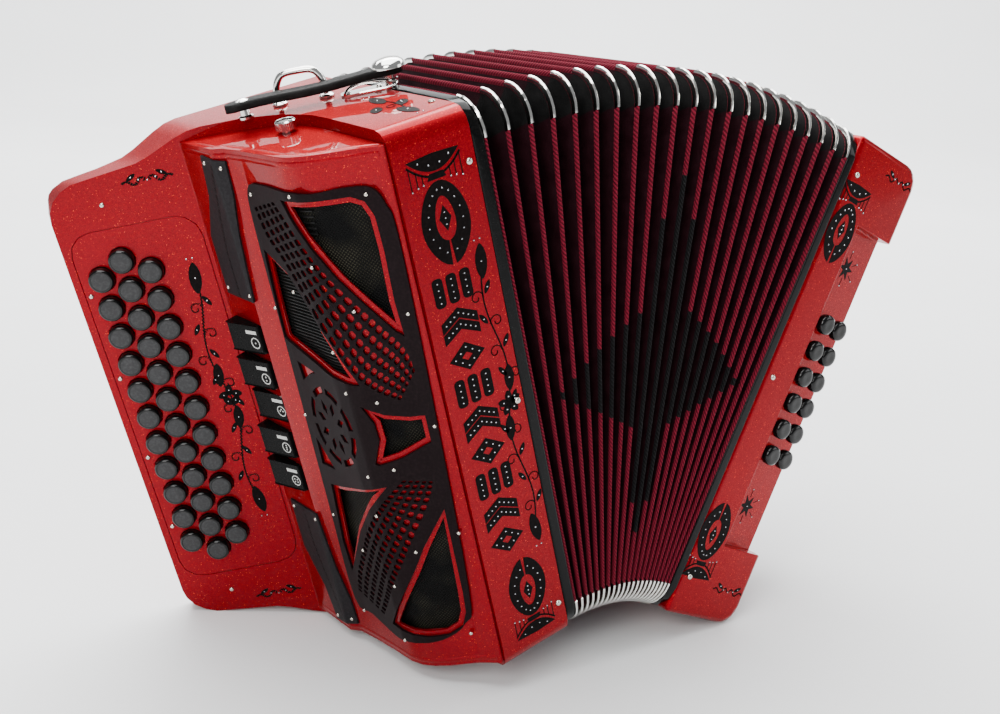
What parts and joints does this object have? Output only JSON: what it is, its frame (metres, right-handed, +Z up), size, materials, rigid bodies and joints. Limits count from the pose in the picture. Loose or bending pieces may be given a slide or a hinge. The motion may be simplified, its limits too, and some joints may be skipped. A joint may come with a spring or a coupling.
{
  "type": "button accordion",
  "caption": "Diatonic button accordion standing on its ends, with fanned bellows, a tilted fingerboard and a fretwork grille.",
  "frame": {"origin": "on the surface the instrument stands on, below the middle of its bounding box", "axes": "+X from the treble side to the bass side, +Y from the front grille to the player, +Z up"},
  "size_m": [0.524, 0.199, 0.3716],
  "materials": {
    "red_lacquer": "glossy lacquer with metal flakes",
    "black_lacquer": "glossy",
    "button_black": "polished",
    "bellows_card": "twill tape over card",
    "chrome_steel": "polished",
    "black_leather": "grained",
    "grille_cloth": "open weave",
    "reed_wood": "planed"
  },
  "bodies": {
    "treble": {"treble_casing": "red_lacquer", "fingerboard": "red_lacquer", "grille_cover": "red_lacquer", "grille_cloth": "grille_cloth", "grille_fretwork": "black_lacquer", "grille_knob": "chrome_steel", "strap_bracket": "chrome_steel", "bellows_strap": "black_leather", "treble_reed_block": "reed_wood", "treble_bellows_frame": "black_lacquer", "bellows_treble_half": "bellows_card"},
    "bellows_middle": {"bellows_middle_fold": "bellows_card", "bellows_bass_half": "bellows_card"},
    "bass": {"bass_bellows_frame": "black_lacquer", "bass_casing": "red_lacquer", "bass_end_cover": "red_lacquer", "hand_strap": "black_leather", "bass_reed_block": "reed_wood"},
    "treble_button_1_01": {"treble_button_1_01": "button_black"},
    "treble_button_1_02": {"treble_button_1_02": "button_black"},
    "treble_button_1_03": {"treble_button_1_03": "button_black"},
    "treble_button_1_04": {"treble_button_1_04": "button_black"},
    "treble_button_1_05": {"treble_button_1_05": "button_black"},
    "treble_button_1_06": {"treble_button_1_06": "button_black"},
    "treble_button_1_07": {"treble_button_1_07": "button_black"},
    "treble_button_1_08": {"treble_button_1_08": "button_black"},
    "treble_button_1_09": {"treble_button_1_09": "button_black"},
    "treble_button_1_10": {"treble_button_1_10": "button_black"},
    "treble_button_1_11": {"treble_button_1_11": "button_black"},
    "treble_button_2_01": {"treble_button_2_01": "button_black"},
    "treble_button_2_02": {"treble_button_2_02": "button_black"},
    "treble_button_2_03": {"treble_button_2_03": "button_black"},
    "treble_button_2_04": {"treble_button_2_04": "button_black"},
    "treble_button_2_05": {"treble_button_2_05": "button_black"},
    "treble_button_2_06": {"treble_button_2_06": "button_black"},
    "treble_button_2_07": {"treble_button_2_07": "button_black"},
    "treble_button_2_08": {"treble_button_2_08": "button_black"},
    "treble_button_2_09": {"treble_button_2_09": "button_black"},
    "treble_button_2_10": {"treble_button_2_10": "button_black"},
    "treble_button_2_11": {"treble_button_2_11": "button_black"},
    "treble_button_2_12": {"treble_button_2_12": "button_black"},
    "treble_button_3_01": {"treble_button_3_01": "button_black"},
    "treble_button_3_02": {"treble_button_3_02": "button_black"},
    "treble_button_3_03": {"treble_button_3_03": "button_black"},
    "treble_button_3_04": {"treble_button_3_04": "button_black"},
    "treble_button_3_05": {"treble_button_3_05": "button_black"},
    "treble_button_3_06": {"treble_button_3_06": "button_black"},
    "treble_button_3_07": {"treble_button_3_07": "button_black"},
    "treble_button_3_08": {"treble_button_3_08": "button_black"},
    "treble_button_3_09": {"treble_button_3_09": "button_black"},
    "treble_button_3_10": {"treble_button_3_10": "button_black"},
    "treble_button_3_11": {"treble_button_3_11": "button_black"},
    "register_switch_1": {"register_switch_1": "button_black"},
    "register_switch_2": {"register_switch_2": "button_black"},
    "register_switch_3": {"register_switch_3": "button_black"},
    "register_switch_4": {"register_switch_4": "button_black"},
    "register_switch_5": {"register_switch_5": "button_black"},
    "bass_button_row_inner": {"bass_button_row_inner": "button_black"},
    "bass_button_row_outer": {"bass_button_row_outer": "button_black"},
    "air_button": {"air_button": "button_black"}
  },
  "joints": [
    {"name": "bellows_hinge_treble", "type": "hinge", "parent": "treble", "child": "bellows_middle", "pos_m": [0.01117, -0.09733, 0.05788], "axis": [0, 1, 0], "range_deg": [-19.8, 8], "deforming": ["bellows_treble_half"]},
    {"name": "bellows_hinge_bass", "type": "hinge", "parent": "bellows_middle", "child": "bass", "pos_m": [0.05683, -0.09733, 0.0737], "axis": [0, 1, 0], "range_deg": [-19.8, 8], "deforming": ["bellows_bass_half"]},
    {"name": "treble_button_1_01_press", "type": "slide", "parent": "treble", "child": "treble_button_1_01", "axis": [0.5005, 0.8526, 0.1501], "range_m": [0, 0.003], "stiffness_N_per_m": 200, "springref_m": -0.003},
    {"name": "treble_button_1_02_press", "type": "slide", "parent": "treble", "child": "treble_button_1_02", "axis": [0.5005, 0.8526, 0.1501], "range_m": [0, 0.003], "stiffness_N_per_m": 200, "springref_m": -0.003},
    {"name": "treble_button_1_03_press", "type": "slide", "parent": "treble", "child": "treble_button_1_03", "axis": [0.5005, 0.8526, 0.1501], "range_m": [0, 0.003], "stiffness_N_per_m": 200, "springref_m": -0.003},
    {"name": "treble_button_1_04_press", "type": "slide", "parent": "treble", "child": "treble_button_1_04", "axis": [0.5005, 0.8526, 0.1501], "range_m": [0, 0.003], "stiffness_N_per_m": 200, "springref_m": -0.003},
    {"name": "treble_button_1_05_press", "type": "slide", "parent": "treble", "child": "treble_button_1_05", "axis": [0.5005, 0.8526, 0.1501], "range_m": [0, 0.003], "stiffness_N_per_m": 200, "springref_m": -0.003},
    {"name": "treble_button_1_06_press", "type": "slide", "parent": "treble", "child": "treble_button_1_06", "axis": [0.5005, 0.8526, 0.1501], "range_m": [0, 0.003], "stiffness_N_per_m": 200, "springref_m": -0.003},
    {"name": "treble_button_1_07_press", "type": "slide", "parent": "treble", "child": "treble_button_1_07", "axis": [0.5005, 0.8526, 0.1501], "range_m": [0, 0.003], "stiffness_N_per_m": 200, "springref_m": -0.003},
    {"name": "treble_button_1_08_press", "type": "slide", "parent": "treble", "child": "treble_button_1_08", "axis": [0.5005, 0.8526, 0.1501], "range_m": [0, 0.003], "stiffness_N_per_m": 200, "springref_m": -0.003},
    {"name": "treble_button_1_09_press", "type": "slide", "parent": "treble", "child": "treble_button_1_09", "axis": [0.5005, 0.8526, 0.1501], "range_m": [0, 0.003], "stiffness_N_per_m": 200, "springref_m": -0.003},
    {"name": "treble_button_1_10_press", "type": "slide", "parent": "treble", "child": "treble_button_1_10", "axis": [0.5005, 0.8526, 0.1501], "range_m": [0, 0.003], "stiffness_N_per_m": 200, "springref_m": -0.003},
    {"name": "treble_button_1_11_press", "type": "slide", "parent": "treble", "child": "treble_button_1_11", "axis": [0.5005, 0.8526, 0.1501], "range_m": [0, 0.003], "stiffness_N_per_m": 200, "springref_m": -0.003},
    {"name": "treble_button_2_01_press", "type": "slide", "parent": "treble", "child": "treble_button_2_01", "axis": [0.5005, 0.8526, 0.1501], "range_m": [0, 0.003], "stiffness_N_per_m": 200, "springref_m": -0.003},
    {"name": "treble_button_2_02_press", "type": "slide", "parent": "treble", "child": "treble_button_2_02", "axis": [0.5005, 0.8526, 0.1501], "range_m": [0, 0.003], "stiffness_N_per_m": 200, "springref_m": -0.003},
    {"name": "treble_button_2_03_press", "type": "slide", "parent": "treble", "child": "treble_button_2_03", "axis": [0.5005, 0.8526, 0.1501], "range_m": [0, 0.003], "stiffness_N_per_m": 200, "springref_m": -0.003},
    {"name": "treble_button_2_04_press", "type": "slide", "parent": "treble", "child": "treble_button_2_04", "axis": [0.5005, 0.8526, 0.1501], "range_m": [0, 0.003], "stiffness_N_per_m": 200, "springref_m": -0.003},
    {"name": "treble_button_2_05_press", "type": "slide", "parent": "treble", "child": "treble_button_2_05", "axis": [0.5005, 0.8526, 0.1501], "range_m": [0, 0.003], "stiffness_N_per_m": 200, "springref_m": -0.003},
    {"name": "treble_button_2_06_press", "type": "slide", "parent": "treble", "child": "treble_button_2_06", "axis": [0.5005, 0.8526, 0.1501], "range_m": [0, 0.003], "stiffness_N_per_m": 200, "springref_m": -0.003},
    {"name": "treble_button_2_07_press", "type": "slide", "parent": "treble", "child": "treble_button_2_07", "axis": [0.5005, 0.8526, 0.1501], "range_m": [0, 0.003], "stiffness_N_per_m": 200, "springref_m": -0.003},
    {"name": "treble_button_2_08_press", "type": "slide", "parent": "treble", "child": "treble_button_2_08", "axis": [0.5005, 0.8526, 0.1501], "range_m": [0, 0.003], "stiffness_N_per_m": 200, "springref_m": -0.003},
    {"name": "treble_button_2_09_press", "type": "slide", "parent": "treble", "child": "treble_button_2_09", "axis": [0.5005, 0.8526, 0.1501], "range_m": [0, 0.003], "stiffness_N_per_m": 200, "springref_m": -0.003},
    {"name": "treble_button_2_10_press", "type": "slide", "parent": "treble", "child": "treble_button_2_10", "axis": [0.5005, 0.8526, 0.1501], "range_m": [0, 0.003], "stiffness_N_per_m": 200, "springref_m": -0.003},
    {"name": "treble_button_2_11_press", "type": "slide", "parent": "treble", "child": "treble_button_2_11", "axis": [0.5005, 0.8526, 0.1501], "range_m": [0, 0.003], "stiffness_N_per_m": 200, "springref_m": -0.003},
    {"name": "treble_button_2_12_press", "type": "slide", "parent": "treble", "child": "treble_button_2_12", "axis": [0.5005, 0.8526, 0.1501], "range_m": [0, 0.003], "stiffness_N_per_m": 200, "springref_m": -0.003},
    {"name": "treble_button_3_01_press", "type": "slide", "parent": "treble", "child": "treble_button_3_01", "axis": [0.5005, 0.8526, 0.1501], "range_m": [0, 0.003], "stiffness_N_per_m": 200, "springref_m": -0.003},
    {"name": "treble_button_3_02_press", "type": "slide", "parent": "treble", "child": "treble_button_3_02", "axis": [0.5005, 0.8526, 0.1501], "range_m": [0, 0.003], "stiffness_N_per_m": 200, "springref_m": -0.003},
    {"name": "treble_button_3_03_press", "type": "slide", "parent": "treble", "child": "treble_button_3_03", "axis": [0.5005, 0.8526, 0.1501], "range_m": [0, 0.003], "stiffness_N_per_m": 200, "springref_m": -0.003},
    {"name": "treble_button_3_04_press", "type": "slide", "parent": "treble", "child": "treble_button_3_04", "axis": [0.5005, 0.8526, 0.1501], "range_m": [0, 0.003], "stiffness_N_per_m": 200, "springref_m": -0.003},
    {"name": "treble_button_3_05_press", "type": "slide", "parent": "treble", "child": "treble_button_3_05", "axis": [0.5005, 0.8526, 0.1501], "range_m": [0, 0.003], "stiffness_N_per_m": 200, "springref_m": -0.003},
    {"name": "treble_button_3_06_press", "type": "slide", "parent": "treble", "child": "treble_button_3_06", "axis": [0.5005, 0.8526, 0.1501], "range_m": [0, 0.003], "stiffness_N_per_m": 200, "springref_m": -0.003},
    {"name": "treble_button_3_07_press", "type": "slide", "parent": "treble", "child": "treble_button_3_07", "axis": [0.5005, 0.8526, 0.1501], "range_m": [0, 0.003], "stiffness_N_per_m": 200, "springref_m": -0.003},
    {"name": "treble_button_3_08_press", "type": "slide", "parent": "treble", "child": "treble_button_3_08", "axis": [0.5005, 0.8526, 0.1501], "range_m": [0, 0.003], "stiffness_N_per_m": 200, "springref_m": -0.003},
    {"name": "treble_button_3_09_press", "type": "slide", "parent": "treble", "child": "treble_button_3_09", "axis": [0.5005, 0.8526, 0.1501], "range_m": [0, 0.003], "stiffness_N_per_m": 200, "springref_m": -0.003},
    {"name": "treble_button_3_10_press", "type": "slide", "parent": "treble", "child": "treble_button_3_10", "axis": [0.5005, 0.8526, 0.1501], "range_m": [0, 0.003], "stiffness_N_per_m": 200, "springref_m": -0.003},
    {"name": "treble_button_3_11_press", "type": "slide", "parent": "treble", "child": "treble_button_3_11", "axis": [0.5005, 0.8526, 0.1501], "range_m": [0, 0.003], "stiffness_N_per_m": 200, "springref_m": -0.003},
    {"name": "register_switch_1_press", "type": "slide", "parent": "treble", "child": "register_switch_1", "axis": [0.9549, 0.0777, 0.2865], "range_m": [0, 0.0035]},
    {"name": "register_switch_2_press", "type": "slide", "parent": "treble", "child": "register_switch_2", "axis": [0.9549, 0.0777, 0.2865], "range_m": [0, 0.0035]},
    {"name": "register_switch_3_press", "type": "slide", "parent": "treble", "child": "register_switch_3", "axis": [0.9549, 0.0777, 0.2865], "range_m": [-0.0035, 0]},
    {"name": "register_switch_4_press", "type": "slide", "parent": "treble", "child": "register_switch_4", "axis": [0.9549, 0.0777, 0.2865], "range_m": [0, 0.0035]},
    {"name": "register_switch_5_press", "type": "slide", "parent": "treble", "child": "register_switch_5", "axis": [0.9549, 0.0777, 0.2865], "range_m": [0, 0.0035]},
    {"name": "bass_button_row_inner_press", "type": "slide", "parent": "bass", "child": "bass_button_row_inner", "axis": [0, 1, 0], "range_m": [0, 0.0035], "stiffness_N_per_m": 300, "springref_m": -0.004},
    {"name": "bass_button_row_outer_press", "type": "slide", "parent": "bass", "child": "bass_button_row_outer", "axis": [0, 1, 0], "range_m": [0, 0.0035], "stiffness_N_per_m": 300, "springref_m": -0.004},
    {"name": "air_button_press", "type": "slide", "parent": "bass", "child": "air_button", "axis": [0, -1, 0], "range_m": [0, 0.004], "stiffness_N_per_m": 300, "springref_m": -0.004}
  ],
  "couplings": [
    {"joint": "bellows_hinge_bass", "follows": "bellows_hinge_treble", "ratio": 1}
  ]
}
